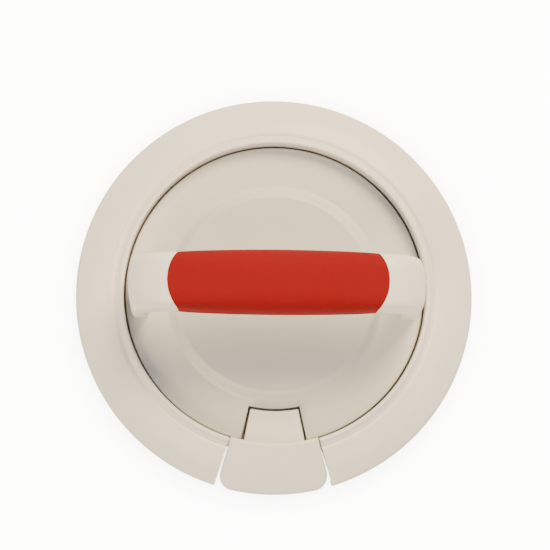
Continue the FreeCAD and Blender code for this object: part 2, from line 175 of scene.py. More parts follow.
def moulded_plastic(name, light, dark, roughness, grain_depth, scatter):
    """Satin injection-moulded plastic: a slight drift of tint and gloss, and a fine grain."""
    made = bpy.data.materials.new(name)
    made.use_nodes = True
    tree = made.node_tree
    shader = tree.nodes["Principled BSDF"]
    place = add_node(tree, "ShaderNodeTexCoord").outputs["Object"]
    patch = add_node(tree, "ShaderNodeTexNoise",
                     values={"Scale": 1 / TINT_PATCH, "Detail": 3.0, "Roughness": 0.5},
                     links={"Vector": place})
    tint = add_node(tree, "ShaderNodeMix", {"data_type": "RGBA"},
                    links={"Factor": patch.outputs["Fac"]})
    tint.inputs["A"].default_value = srgb(dark)
    tint.inputs["B"].default_value = srgb(light)
    tree.links.new(next(s for s in tint.outputs if s.type == "RGBA"), shader.inputs["Base Color"])
    gloss = add_node(tree, "ShaderNodeMapRange",
                     values={"From Min": 0.3, "From Max": 0.7,
                             "To Min": roughness - GLOSS_DRIFT, "To Max": roughness + GLOSS_DRIFT},
                     links={"Value": patch.outputs["Fac"]})
    tree.links.new(gloss.outputs["Result"], shader.inputs["Roughness"])
    # The real grain is about 0.1 mm and would not show, so it is drawn at half a millimetre.
    grain = add_node(tree, "ShaderNodeTexNoise", values={"Scale": 1 / GRAIN, "Detail": 2.0},
                     links={"Vector": place})
    bump = add_node(tree, "ShaderNodeBump", values={"Strength": 0.5, "Distance": grain_depth},
                    links={"Height": grain.outputs["Fac"]})
    tree.links.new(bump.outputs["Normal"], shader.inputs["Normal"])
    shader.inputs["IOR"].default_value = PLASTIC_IOR
    shader.inputs["Subsurface Weight"].default_value = scatter
    shader.inputs["Subsurface Radius"].default_value = (1.0, 0.8, 0.6)
    shader.inputs["Subsurface Scale"].default_value = 1.5 * MM
    return made


white_pp = moulded_plastic("moulded_white_polypropylene", "#f0efed", "#e9e7e3",
                           0.42, 0.03 * MM, 0.08)


def round_corners(outline, closed=True):
    """Points of an outline of (r, z, corner radius), with each corner as an arc."""
    points = []
    count = len(outline)
    for i, (r, z, radius) in enumerate(outline):
        here = Vector((r, z))
        if radius == 0 or (not closed and i in (0, count - 1)):
            points.append(here)
            continue
        before = Vector(outline[i - 1][:2]) - here
        after = Vector(outline[(i + 1) % count][:2]) - here
        opening = before.angle(after)
        reach = min(radius / math.tan(opening / 2), 0.49 * before.length, 0.49 * after.length)
        start = here + before.normalized() * reach
        end = here + after.normalized() * reach
        steps = max(3, round(math.degrees(math.pi - opening) / 9))
        for k in range(steps + 1):
            t = k / steps
            # A conic with this middle weight is a true arc between the two tangent points.
            weight = math.sin(opening / 2)
            b0, b1, b2 = (1 - t) ** 2, 2 * t * (1 - t) * weight, t ** 2
            points.append((start * b0 + here * b1 + end * b2) / (b0 + b1 + b2))
    return points


def join_rows(mesh, rows, wrap=True):
    """Faces between each row of points and the next, all the way round the rows or not."""
    for a, b in zip(rows, rows[1:]):
        for i in range(len(a) if wrap else len(a) - 1):
            j = (i + 1) % len(a)
            mesh.faces.new((a[i], b[i], b[j], a[j]))


def turn_outline(name, outline, gap_half_angle=0.0, cut=None, bevel=0.3):
    """Turns a closed outline in mm round Z. Within the front gap only the stretch of the outline
    outside the two cut points is kept; with no cut points the gap is open."""
    points = round_corners(outline)
    count = len(points)
    if cut:
        first, last = (min(range(count), key=lambda i: (points[i] - Vector(c)).length) for c in cut)
        kept = [(last + i) % count for i in range((first - last) % count + 1)]
        lost = list(range(first, last + 1))
    else:
        kept = []
        lost = list(range(count))
    mesh = bmesh.new()

    def column(angle, chosen):
        across, along = MM * math.cos(angle), MM * math.sin(angle)
        return {i: mesh.verts.new((points[i].x * across, points[i].x * along, points[i].y * MM))
                for i in chosen}

    sweep_angle = 2 * math.pi - 2 * gap_half_angle
    steps = round(sweep_angle / COLUMN_ANGLE)
    start = FRONT + gap_half_angle
    columns = [column(start + sweep_angle * k / steps, range(count)) for k in range(steps)]
    columns.append(column(start + sweep_angle, range(count)) if gap_half_angle else columns[0])
    join_rows(mesh, columns)
    rims = []
    if gap_half_angle:
        rims = [mesh.faces.new([columns[k][i] for i in lost]) for k in (0, -1)]
    if kept:
        small = round(2 * gap_half_angle / COLUMN_ANGLE)
        end = start + sweep_angle
        inner = [columns[-1]]
        inner += [column(end + 2 * gap_half_angle * k / small, kept) for k in range(1, small)]
        inner.append(columns[0])
        for a, b in zip(inner, inner[1:]):
            for i, j in zip(kept, kept[1:] + kept[:1]):
                face = mesh.faces.new((a[i], b[i], b[j], a[j]))
                if (i, j) == (kept[-1], kept[0]):
                    rims.append(face)
    edges = set()
    for face in rims:
        for edge in face.edges:
            on_border = sum(other in rims for other in edge.link_faces) < 2
            if on_border or edge.calc_face_angle(0) > CORNER_ANGLE:
                edges.add(edge)
    bmesh.ops.remove_doubles(mesh, verts=mesh.verts, dist=WELD)
    edges = [edge for edge in edges if edge.is_valid]
    if bevel and edges:
        bmesh.ops.bevel(mesh, geom=edges, offset=bevel * MM, segments=2, profile=0.6,
                        affect="EDGES", clamp_overlap=True)
    return finished(name, mesh)


def turn_outward(mesh):
    """Drops loose edges and turns every face of a closed mesh to the outside."""
    loose = [edge for edge in mesh.edges if not edge.link_faces]
    bmesh.ops.delete(mesh, geom=loose, context="EDGES")
    bmesh.ops.recalc_face_normals(mesh, faces=mesh.faces)
    if mesh.calc_volume(signed=True) < 0:
        bmesh.ops.reverse_faces(mesh, faces=mesh.faces)


def finished(name, mesh, sharp_angle=40):
    """Object from a bmesh: outward faces, smooth shading broken at sharp edges."""
    turn_outward(mesh)
    data = bpy.data.meshes.new(name)
    mesh.to_mesh(data)
    mesh.free()
    return shaded(put_in_scene(name, data), sharp_angle)


def shaded(piece, sharp_angle=40):
    """Smooth shading, broken where faces meet at more than the sharp angle in degrees."""
    piece.data.shade_smooth()
    piece.data.set_sharp_from_angle(angle=math.radians(sharp_angle))
    even = piece.modifiers.new("even_normals", "WEIGHTED_NORMAL")
    even.keep_sharp = True
    return piece


def give(piece, finish, body, slot, *nodes):
    """Material, body and replaced CAD nodes of one piece. The slot is not used."""
    if finish:
        piece.data.materials.clear()
        piece.data.materials.append(finish)
    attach(piece, body)
    if nodes:
        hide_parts(*nodes)
    return piece


# From the foot of the inner wall up to the seam, over the crown, down the skirt and back below.
rim_outline = [
    (RIM_INNER_R, WALL_FOOT, 0.4), (RIM_INNER_R, 17.2, 0),
    (SEAM_R, 17.2, 0), (SEAM_R, 17.3, 0.05), (61.2, 17.6, 1.6),
    (67.4, 15.55, 38), (73.9, 10.55, 2.2), (RIM_R, 8.4, 2.5), (74.7, SKIRT_BOTTOM, 0.6),
    (72.7, SKIRT_BOTTOM, 0.4), (72.95, 8.4, 0.8), (72.3, 9.3, 0.8), (66.3, 13.2, 20),
    (61.4, 15.45, 0.8), (61.4, WALL_FOOT, 0.4)]
rim = turn_outline("rim", rim_outline, GAP_HALF_ANGLE)
give(rim, white_pp, "base", "white_plastic", "base_rim")


# ---------------------------------------------------------------------------------------------
# Ribs under the rim. They are part of the same white moulding: thin radial walls between the
# rim's inner wall and its skirt, with one closing each end of the ring beside the tab gap.
# ---------------------------------------------------------------------------------------------

RIB_COUNT = 15
RIB_THICKNESS = 1.6
RIB_BEVEL = 0.2
END_RIB_INSET = math.radians(1.0)

ring_tree = bpy.data.node_groups.new("copies_round_the_middle", "GeometryNodeTree")
ring_tree.interface.new_socket("Geometry", in_out="INPUT", socket_type="NodeSocketGeometry")
for label, kind in (("Copies", "NodeSocketInt"), ("First angle", "NodeSocketFloat"),
                    ("Step angle", "NodeSocketFloat"), ("Finish", "NodeSocketMaterial")):
    ring_tree.interface.new_socket(label, in_out="INPUT", socket_type=kind)
ring_tree.interface.new_socket("Geometry", in_out="OUTPUT", socket_type="NodeSocketGeometry")
given = add_node(ring_tree, "NodeGroupInput").outputs
points = add_node(ring_tree, "GeometryNodeMeshLine", values={"Offset": (0, 0, 0)},
                  links={"Count": given["Copies"]})
number = add_node(ring_tree, "GeometryNodeInputIndex").outputs["Index"]
turned_by = add_node(ring_tree, "ShaderNodeMath", {"operation": "MULTIPLY_ADD"})
for socket, source in zip(turned_by.inputs, (number, given["Step angle"], given["First angle"])):
    ring_tree.links.new(source, socket)
spin = add_node(ring_tree, "ShaderNodeCombineXYZ", links={"Z": turned_by.outputs[0]})
copies = add_node(ring_tree, "GeometryNodeInstanceOnPoints",
                  links={"Points": points.outputs["Mesh"], "Instance": given["Geometry"],
                         "Rotation": spin.outputs["Vector"]})
real = add_node(ring_tree, "GeometryNodeRealizeInstances",
                links={"Geometry": copies.outputs["Instances"]})
coated = add_node(ring_tree, "GeometryNodeSetMaterial",
                  links={"Geometry": real.outputs["Geometry"], "Material": given["Finish"]})
add_node(ring_tree, "NodeGroupOutput", links={"Geometry": coated.outputs["Geometry"]})


def copies_round(name, mesh, copies, first, step, finish):
    """Plain mesh of a bmesh repeated round Z by the tree above."""
    bmesh.ops.recalc_face_normals(mesh, faces=mesh.faces)
    data = bpy.data.meshes.new(name + "_one")
    mesh.to_mesh(data)
    mesh.free()
    seed = put_in_scene(name + "_one", data)
    ring = seed.modifiers.new("ring", "NODES")
    ring.node_group = ring_tree
    wanted = {"Copies": copies, "First angle": first, "Step angle": step, "Finish": finish}
    for item in ring_tree.interface.items_tree:
        if item.in_out == "INPUT" and item.name in wanted:
            ring[item.identifier] = wanted[item.name]
    seen = seed.evaluated_get(bpy.context.evaluated_depsgraph_get())
    result = bpy.data.meshes.new_from_object(seen)
    bpy.data.objects.remove(seed)
    return shaded(put_in_scene(name, result))


def slab(outline, low, high, bevel):
    """Bmesh of an outline in the XZ plane (mm), thick from low to high in Y."""
    mesh = bmesh.new()
    near = [mesh.verts.new((x * MM, low * MM, z * MM)) for x, z in outline]
    far = [mesh.verts.new((x * MM, high * MM, z * MM)) for x, z in outline]
    mesh.faces.new(near)
    mesh.faces.new(far[::-1])
    for i in range(len(outline)):
        j = (i + 1) % len(outline)
        mesh.faces.new((near[j], near[i], far[i], far[j]))
    if bevel:
        bmesh.ops.bevel(mesh, geom=mesh.edges[:], offset=bevel * MM, segments=2, profile=0.6,
                        affect="EDGES")
    return mesh


rib_outline = [(60.9, 5.0), (73.2, 5.0), (73.4, 8.2), (72.6, 9.6), (66.5, 13.7), (60.9, 16.0)]
rib = slab(rib_outline, -RIB_THICKNESS / 2, RIB_THICKNESS / 2, RIB_BEVEL)
first_rib = FRONT + GAP_HALF_ANGLE + END_RIB_INSET
rib_step = (2 * math.pi - 2 * (GAP_HALF_ANGLE + END_RIB_INSET)) / (RIB_COUNT - 1)
rim_ribs = copies_round("rim_ribs", rib, RIB_COUNT, first_rib, rib_step, white_pp)
give(rim_ribs, None, "base", "white_plastic")


# ---------------------------------------------------------------------------------------------
# Pan of the base. A separate white polypropylene dish that forms the cavity for the meat. Its
# edge is a narrow rounded lip, with a faint groove where it meets the rim. The wall is lower at
# the front, where the tab's neck passes over it, and hooks on its outside snap under the rim.
# ---------------------------------------------------------------------------------------------

CAVITY_R = 56.7
PAN_WALL_R = 59.2
PAN_BOTTOM = 1.2
FLOOR_TOP = 3.0
LIP_TOP = 19.6
LOW_WALL_TOP = 15.0
GATE_R = 6
GATE_DEPTH = 0.3
LIP_FOOT_R = 60.0
HOOKS = 6
HOOK_HALF_WIDTH = 4
HOOK_BEVEL = 0.15

# From the gate mark under the middle out to the wall, up it, over the lip and down the cavity.
pan_outline = [
    (0, PAN_BOTTOM + GATE_DEPTH, 0), (GATE_R, PAN_BOTTOM + GATE_DEPTH, 0.1),
    (GATE_R, PAN_BOTTOM, 0.1), (PAN_WALL_R, PAN_BOTTOM, 1.6),
    (PAN_WALL_R, LOW_WALL_TOP, 0), (PAN_WALL_R, 17.3, 0), (LIP_FOOT_R, 17.3, 0),
    (LIP_FOOT_R, 17.45, 0.05), (59.1, 17.95, 1.0),
    (57.95, LIP_TOP, 0.8), (CAVITY_R, LIP_TOP, 0.75), (CAVITY_R, LOW_WALL_TOP, 0),
    (CAVITY_R, FLOOR_TOP, 0.8), (0, FLOOR_TOP, 0)]
pan = turn_outline("pan", pan_outline, GAP_HALF_ANGLE,
                   [(PAN_WALL_R, LOW_WALL_TOP), (CAVITY_R, LOW_WALL_TOP)])
give(pan, white_pp, "base", "white_plastic", "base_pan")

hook_outline = [(58.9, 5.2), (60.3, 6.9), (58.9, 6.9)]
hook = slab(hook_outline, -HOOK_HALF_WIDTH, HOOK_HALF_WIDTH, HOOK_BEVEL)
pan_hooks = copies_round("pan_hooks", hook, HOOKS, 0.0, 2 * math.pi / HOOKS, white_pp)
give(pan_hooks, None, "base", "white_plastic")


# ---------------------------------------------------------------------------------------------
# Feet. Four round pads of soft grey elastomer, pressed into shallow pockets under the pan, each
# with a softened edge where it meets the worktop. The surface is matt and slightly dusty.
# ---------------------------------------------------------------------------------------------

FOOT_R = 5.4
FOOT_TOP = 1.75
FOOT_CIRCLE_R = 46.0
FOOT_EDGE_R = 0.5
PAD_SIDES = 48

foot_rubber = moulded_plastic("moulded_grey_elastomer", "#8b8b8a", "#818180", 0.72, 0.02 * MM, 0.0)
pad = bmesh.new()
pad_outline = round_corners([(0, 0, 0), (FOOT_R, 0, FOOT_EDGE_R), (FOOT_R, FOOT_TOP, 0),
                             (0, FOOT_TOP, 0)], closed=False)
rings = []
for k in range(PAD_SIDES):
    turned = 2 * math.pi * k / PAD_SIDES
    rings.append([pad.verts.new(((FOOT_CIRCLE_R + p.x * math.cos(turned)) * MM,
                                 p.x * math.sin(turned) * MM, p.y * MM)) for p in pad_outline])
join_rows(pad, rings + rings[:1], wrap=False)
bmesh.ops.remove_doubles(pad, verts=pad.verts, dist=WELD)
feet = copies_round("feet", pad, 4, math.pi / 4, math.pi / 2, foot_rubber)
give(feet, None, "base", "foot_rubber",
     "foot_front_left", "foot_front_right", "foot_rear_left", "foot_rear_right")


# ---------------------------------------------------------------------------------------------
# Lift tray. A thin white polypropylene disc that lies on the pan's floor under the meat, with a
# hollow post at the front and, on top of the post, a curved tab that fills the gap in the rim.
# A finger lifts the tab and the patty comes out on the disc.
# ---------------------------------------------------------------------------------------------

TRAY_R = 56.1
TRAY_BOTTOM = 3.2
TRAY_TOP = 4.8
POST_INNER_R = 44.2
POST_TOP = 17.0
POST_HALF_ANGLE = math.radians(11.6)
POST_SINK = 0.8
POST_BEVEL = 0.5
POST_COLUMNS = 24

tray_outline = [
    (0, TRAY_BOTTOM, 0), (TRAY_R, TRAY_BOTTOM, 0.3), (TRAY_R, TRAY_TOP, 0.5), (0, TRAY_TOP, 0)]
tray = turn_outline("tray", tray_outline)


def sector_block(r_in, r_out, low, high, centre, half_angle, columns, bevel):
    """Bmesh of a block with a ring sector's plan and softened edges, in mm and radians."""
    mesh = bmesh.new()
    section = ((r_in, low), (r_out, low), (r_out, high), (r_in, high))
    rows = []
    for k in range(columns + 1):
        angle = centre + half_angle * (2 * k / columns - 1)
        rows.append([mesh.verts.new((r * MM * math.cos(angle), r * MM * math.sin(angle), z * MM))
                     for r, z in section])
    join_rows(mesh, rows)
    mesh.faces.new(rows[0])
    mesh.faces.new(rows[-1])
    bmesh.ops.recalc_face_normals(mesh, faces=mesh.faces)
    corners = [edge for edge in mesh.edges if edge.calc_face_angle(0) > CORNER_ANGLE]
    bmesh.ops.bevel(mesh, geom=corners, offset=bevel * MM, segments=3, profile=0.5, affect="EDGES")
    return mesh


post = sector_block(POST_INNER_R, TRAY_R, TRAY_TOP - POST_SINK, POST_TOP,
                    FRONT, POST_HALF_ANGLE, POST_COLUMNS, POST_BEVEL)
post_piece = finished("tray_post", post)

# The neck reaches over the pan's low wall and joins the tab to the post. It is a little smaller
# than the post, so that no two faces coincide.
NECK_INNER_R = TRAY_R - 1.2
NECK_OUTER_R = 58.2
NECK_BOTTOM = 15.6
NECK_TOP = 16.83
NECK_HALF_ANGLE = math.radians(11.4)
NECK_BEVEL = 0.3
NECK_COLUMNS = 23
neck = sector_block(NECK_INNER_R, NECK_OUTER_R, NECK_BOTTOM, NECK_TOP,
                    FRONT, NECK_HALF_ANGLE, NECK_COLUMNS, NECK_BEVEL)
neck_piece = finished("tray_neck", neck)

# The tab is a hollow hood with the rim's own curve, a little proud of the rim, so that a finger
# finds it. Its rows of points lie closer together towards its outer edge.
TAB_HALF_ANGLE = math.radians(16.6)
TAB_INNER_R = 56.3
TAB_CORNER_R = 5.6
TAB_EDGE_R = 1.1
TAB_WALL = 1.8
TAB_TOP_AT_SEAM = 18.5
TAB_FALL = 7.9
TAB_ROLL = 1.5
TAB_INNER_RISE = 0.25
TAB_RISE_LENGTH = 1.5
TAB_LIP_BOTTOM = 16.2
TAB_LIP_SLOPE = 0.15
TAB_SIDE_R = 59.5
TAB_SIDE_Z = 15.6
TAB_SIDE_FALL = 9.2
TAB_HOLLOW_R = 61.2
TAB_HOLLOW_HALF_ANGLE = TAB_HALF_ANGLE - TAB_WALL / 60
TAB_CEILING = 2.2
TAB_ROWS = 44
TAB_ROW_CROWDING = 1.15
TAB_COLUMNS = 48


def tab_top(r):
    """Height of the tab's upper surface at radius r, in mm: the rim's own curve, a little proud."""
    t = (r - SEAM_R) / (RIM_R - SEAM_R)
    slope = TAB_TOP_AT_SEAM - TAB_FALL * t - TAB_ROLL * t * t
    rise_start = SEAM_R + TAB_RISE_LENGTH
    inner = max(0.0, (rise_start - r) / (rise_start - TAB_INNER_R))
    return slope + TAB_INNER_RISE * inner


def tab_bottom(r):
    """Height of the lower edge of the tab's sides at radius r."""
    if r < TAB_SIDE_R:
        return TAB_LIP_BOTTOM - TAB_LIP_SLOPE * (r - TAB_INNER_R)
    return TAB_SIDE_Z - TAB_SIDE_FALL * (r - TAB_SIDE_R) / (RIM_R - TAB_SIDE_R)


def tab_grid(half_angle, r_in, r_out, corner, height):
    """Rows of points over a ring sector with rounded outer corners."""
    grid = []
    for j in range(TAB_ROWS + 1):
        t = j / TAB_ROWS
        r = r_in + (r_out - r_in) * math.sin(t * math.pi / 2) ** TAB_ROW_CROWDING
        squeeze = 0.0
        if r > r_out - corner:
            squeeze = corner - math.sqrt(max(0.0, corner ** 2 - (r - r_out + corner) ** 2))
        reach = half_angle - squeeze / r
        row = []
        for i in range(TAB_COLUMNS + 1):
            s = math.sin((i / TAB_COLUMNS - 0.5) * math.pi)
            row.append((r, FRONT + reach * s, height(r, reach * r * (1 - abs(s)), r_out - r)))
        grid.append(row)
    return grid


def edge_drop(distance):
    """How far a rounded edge has fallen, at this distance inside the edge."""
    inside = max(0.0, TAB_EDGE_R - distance)
    return TAB_EDGE_R - math.sqrt(TAB_EDGE_R ** 2 - min(inside, TAB_EDGE_R) ** 2)


def border(grid):
    """The grid's boundary points in order."""
    rows, columns = len(grid), len(grid[0])
    loop = [(0, i) for i in range(columns)] + [(j, columns - 1) for j in range(1, rows)]
    loop += [(rows - 1, i) for i in range(columns - 2, -1, -1)]
    return loop + [(j, 0) for j in range(rows - 2, 0, -1)]


def polar(mesh, r, angle, z):
    """New point at a radius and height in mm and an angle round Z."""
    return mesh.verts.new((r * MM * math.cos(angle), r * MM * math.sin(angle), z * MM))


def outer_height(r, side, end):
    """Height of the tab's outside, from its radius and its distances from a side and the end."""
    nearest = min(side, end, r - TAB_INNER_R)
    return tab_top(r) - edge_drop(nearest)


def inner_height(r, side, end):
    """Height of the ceiling of the tab's hollow, which is the same from side to side."""
    return tab_top(r) - TAB_CEILING


tab = bmesh.new()
outer = tab_grid(TAB_HALF_ANGLE, TAB_INNER_R, RIM_R, TAB_CORNER_R, outer_height)
inner = tab_grid(TAB_HOLLOW_HALF_ANGLE, TAB_HOLLOW_R, RIM_R - TAB_WALL,
                 TAB_CORNER_R - TAB_WALL, inner_height)
faces_up = [[polar(tab, *p) for p in row] for row in outer]
faces_down = [[polar(tab, *p) for p in row] for row in inner]
join_rows(tab, faces_up, wrap=False)
join_rows(tab, faces_down, wrap=False)
loop = border(outer)
skirts = [[faces_up[j][i] for j, i in loop],
          [polar(tab, outer[j][i][0], outer[j][i][1], tab_bottom(outer[j][i][0])) for j, i in loop],
          [polar(tab, inner[j][i][0], inner[j][i][1], tab_bottom(inner[j][i][0])) for j, i in loop],
          [faces_down[j][i] for j, i in loop]]
join_rows(tab, skirts)
bmesh.ops.remove_doubles(tab, verts=tab.verts, dist=2 * WELD)
tab_piece = finished("tray_tab", tab)


def combined(whole, operation, *others, merge=0.02):
    """Adds other closed pieces to a piece, or cuts them out of it, and removes them. Points
    closer than the merge distance in mm become one."""
    for other in others:
        whole.modifiers.clear()
        step = whole.modifiers.new("step", "BOOLEAN")
        step.operation = operation
        step.solver = "EXACT"
        step.object = other
        seen = whole.evaluated_get(bpy.context.evaluated_depsgraph_get())
        data = bpy.data.meshes.new_from_object(seen)
        whole.modifiers.clear()
        whole.data = data
        bpy.data.objects.remove(other)
    mesh = bmesh.new()
    mesh.from_mesh(whole.data)
    bmesh.ops.remove_doubles(mesh, verts=mesh.verts, dist=merge * MM)
    bmesh.ops.dissolve_degenerate(mesh, dist=merge / 2 * MM, edges=mesh.edges)
    bmesh.ops.triangulate(mesh, faces=mesh.faces)
    turn_outward(mesh)
    mesh.to_mesh(whole.data)
    mesh.free()
    return shaded(whole)


# Three cores hollow the post from below, with a wall between each two.
CORES = 3
CORE_INNER_R = 45.8
CORE_OUTER_R = 54.3
CORE_TOP = 15.4
CORE_STEP = math.radians(6.0)
CORE_HALF_ANGLE = math.radians(2.6)
CORE_COLUMNS = 4
core = sector_block(CORE_INNER_R, CORE_OUTER_R, 0, CORE_TOP,
                    0.0, CORE_HALF_ANGLE, CORE_COLUMNS, POST_BEVEL)
post_cores = copies_round("post_cores", core, CORES, FRONT - CORE_STEP, CORE_STEP, white_pp)
tray = combined(tray, "UNION", post_piece, neck_piece, tab_piece)
tray = combined(tray, "DIFFERENCE", post_cores)
give(tray, white_pp, "tray", "white_plastic", "lift_tray")


# ---------------------------------------------------------------------------------------------
# Press head. Two white polypropylene halves that clip together round a silicone seal: the upper
# one is a flat ring with a raised deck in the middle, the lower one is the smooth face that
# presses the meat. Both are notched at the front to pass the tray's post.
# ---------------------------------------------------------------------------------------------

PRESS_R = 56.0
PLATE_BOTTOM = 11.4
PLATE_TOP = 13.2
DECK_TOP = 16.8
NOTCH_R = 43.0
NOTCH_HALF_ANGLE = math.radians(12.8)
DECK_R = 37.5
DECK_SLOPE_R = 40.5
DECK_WALL = 1.8
PLATE_BEVEL = 0.5

# From the middle of the underside out to the rim of the plate, and back over the raised deck.
plate_outline = [
    (0, DECK_TOP - DECK_WALL, 0), (36.1, DECK_TOP - DECK_WALL, 1.2), (38.6, PLATE_BOTTOM, 0.8),
    (NOTCH_R, PLATE_BOTTOM, 0), (PRESS_R, PLATE_BOTTOM, 0.15), (PRESS_R, PLATE_TOP, 1.3),
    (NOTCH_R, PLATE_TOP, 0), (DECK_SLOPE_R, PLATE_TOP, 1.6), (DECK_R, DECK_TOP, 2.4),
    (0, DECK_TOP, 0)]
plate = turn_outline("press_plate", plate_outline, NOTCH_HALF_ANGLE,
                     [(NOTCH_R, PLATE_BOTTOM), (NOTCH_R, PLATE_TOP)], bevel=PLATE_BEVEL)

# Darker and cooler than the rim: partly a milkier plastic that light goes slightly further into,
# and partly painted shade for the plate lying low in the cavity under the handle.
milky_shaded_pp = moulded_plastic("moulded_milk_white_polypropylene_painted_shade", "#dcdfdd", "#d4d8d6",
                          0.42, 0.03 * MM, 0.12)
give(plate, milky_shaded_pp, "press", "white_plastic", "press_top_plate")


def from_frame(name, node, sharp_angle=35):
    """Copy of a CAD node as one welded mesh with smooth shading."""
    mesh = bmesh.new()
    mesh.from_mesh(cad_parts[node].data)
    bmesh.ops.remove_doubles(mesh, verts=mesh.verts, dist=2 * WELD)
    data = bpy.data.meshes.new(name)
    mesh.to_mesh(data)
    mesh.free()
    return shaded(put_in_scene(name, data), sharp_angle)


press_face = from_frame("press_face_cover", "press_face")
# The face under the plate gets the same darker, cooler white, painted shade included.
give(press_face, milky_shaded_pp, "press", "white_plastic", "press_face")


def coat(finish, *nodes):
    """Gives a finish to CAD nodes that keep their shape, through their own material slots."""
    for node in nodes:
        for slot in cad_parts[node].material_slots:
            slot.material = finish


# Silicone is soft to the eye: pale, cloudy, with a dull and slightly greasy surface.
seal_silicone = moulded_plastic("moulded_clear_silicone", "#cfcfca", "#c6c6c1",
                                0.5, 0.01 * MM, 0.2)
coat(seal_silicone, "press_gasket")


# ---------------------------------------------------------------------------------------------
# Dimple insert. A thin frosted polypropylene disc with a hollow dome in its middle. It is loose,
# stored dome up under the press head, and turned over to leave a dimple in the patty.
# ---------------------------------------------------------------------------------------------

# The frosting scatters what light comes through, so it looks cloudy and a little cool.
FROSTED_TRANSMISSION = 0.35
frosted_pp = moulded_plastic("moulded_frosted_polypropylene", "#d3d5d3", "#c9cccb",
                             0.5, 0.015 * MM, 0.35)
frosted_shader = frosted_pp.node_tree.nodes["Principled BSDF"]
frosted_shader.inputs["Transmission Weight"].default_value = FROSTED_TRANSMISSION
insert = from_frame("dimple_disc", "dimple_insert")
give(insert, frosted_pp, "insert", "insert_plastic", "dimple_insert")


# ---------------------------------------------------------------------------------------------
# Handle. A white polypropylene bridge in two shells that part halfway down the bar: the upper
# one carries both legs, which stand at the very edge of the press plate and follow its curve.
# Between the legs the shells are stepped in to take the soft grip.
# ---------------------------------------------------------------------------------------------

HANDLE_END_R = 54.3
LEG_INNER_X = 47.3
SHOULDER_R = 16.0
HAUNCH_R = 10.0
BAR_TOP = 59.9
BAR_CROWN = 1.1
BAR_BOTTOM = 38.5
BAR_HALF_WIDTH = 10.65
LEG_HALF_WIDTH = 9.3
PARTING_Z = 48.0
PARTING_GAP = 0.05
LOWER_SHELL_END = 38.0
GRIP_END_X = 40.1
GRIP_END_CURVE = 16.0
STEP_IN = 2.0
SECTION_POINTS = 96
SHELL_SHARP_ANGLE = 50

# Exponents of the superellipse sections along the handle, and how much of the grip's swell goes
# up and down rather than sideways.
WHITE_SQUARENESS = 4.6
SHOULDER_SQUARENESS = 3.7
FOOT_SQUARENESS = 9.0
SWELL_UP = 0.42

haunch = Vector((LEG_INNER_X - HAUNCH_R, BAR_BOTTOM - HAUNCH_R))
shoulder = Vector((HANDLE_END_R - SHOULDER_R, BAR_TOP - SHOULDER_R))
bend_length = math.pi / 4 * (HAUNCH_R + SHOULDER_R)
leg_length = (haunch.y + shoulder.y) / 2 - PLATE_TOP
grip_side_x = GRIP_END_X - GRIP_END_CURVE + math.sqrt(GRIP_END_CURVE ** 2 - BAR_HALF_WIDTH ** 2)
foot_station = haunch.x + bend_length + leg_length


def handle_lines(station):
    """Inner and outer point of the handle's side outline at a distance from its middle, in mm."""
    side = 1 if station >= 0 else -1
    along = abs(station)
    if along <= haunch.x:
        x = along * shoulder.x / haunch.x
        inner_point = Vector((along, BAR_BOTTOM))
        outer_point = Vector((x, BAR_TOP + BAR_CROWN * (1 - (x / shoulder.x) ** 2)))
    elif along <= haunch.x + bend_length:
        angle = (along - haunch.x) / bend_length * math.pi / 2
        way = Vector((math.sin(angle), math.cos(angle)))
        inner_point = haunch + HAUNCH_R * way
        outer_point = shoulder + SHOULDER_R * way
    else:
        down = min(1.0, (along - haunch.x - bend_length) / leg_length)
        inner_point = Vector((LEG_INNER_X, haunch.y + (PLATE_TOP - haunch.y) * down))
        outer_point = Vector((HANDLE_END_R, shoulder.y + (PLATE_TOP - shoulder.y) * down))
    return (Vector((side * inner_point.x, inner_point.y)),
            Vector((side * outer_point.x, outer_point.y)))


def grip_end(y):
    """Where the grip's curved end line is, at y across the top of the handle."""
    y = min(abs(y), BAR_HALF_WIDTH)
    return GRIP_END_X - GRIP_END_CURVE + math.sqrt(GRIP_END_CURVE ** 2 - y * y)


def power(value, exponent):
    return math.copysign(abs(value) ** exponent, value)


def handle_point(station, angle, squareness, grow=0.0, swell=0.0):
    """Point on the handle's skin. Angle 0 is the outer middle line, a quarter turn the +Y side."""
    bend = max(0.0, min(1.0, (abs(station) - haunch.x) / bend_length))
    drop = max(0.0, min(1.0, (abs(station) - haunch.x - bend_length) / leg_length))
    if bend > 0:
        to_shoulder = (SHOULDER_SQUARENESS - squareness) * bend * (1 - drop)
        squareness += to_shoulder + (FOOT_SQUARENESS - squareness) * drop ** 2
    up = power(math.cos(angle), 2 / squareness)
    across = power(math.sin(angle), 2 / squareness)
    half_width = BAR_HALF_WIDTH + grow + swell
    y = half_width * across
    inner_point, outer_point = handle_lines(station)
    middle = (inner_point + outer_point) / 2
    half_thick = (outer_point - inner_point) / 2
    way = half_thick.normalized()
    place = middle + half_thick * up + way * up * (grow + swell * SWELL_UP)
    bulge = HANDLE_END_R - math.sqrt(HANDLE_END_R ** 2 - y * y)
    place = place - Vector((math.copysign(1, station), 0)) * bulge * bend * (up + 1) / 2
    height = (place.y - PLATE_TOP) / (BAR_TOP - PLATE_TOP)
    draft = LEG_HALF_WIDTH + (BAR_HALF_WIDTH - LEG_HALF_WIDTH) * height
    return Vector((place.x, y * draft / BAR_HALF_WIDTH, place.y))


def station_at(x, angle, squareness):
    """Distance from the middle at which the handle's skin reaches x, at this angle round it."""
    near, far = 0.0, foot_station
    for _ in range(30):
        middle = (near + far) / 2
        if handle_point(middle, angle, squareness).x < x:
            near = middle
        else:
            far = middle
    return near


def cut_line(x, angle, squareness):
    """Distances of a cut across the handle: straight below the parting, along the grip's curved
    end above it, with x measured at the sides."""
    if math.cos(angle) > 1e-9:
        y = BAR_HALF_WIDTH * power(math.sin(angle), 2 / squareness)
        x = x + grip_end(y) - grip_side_x
    return station_at(x, angle, squareness)


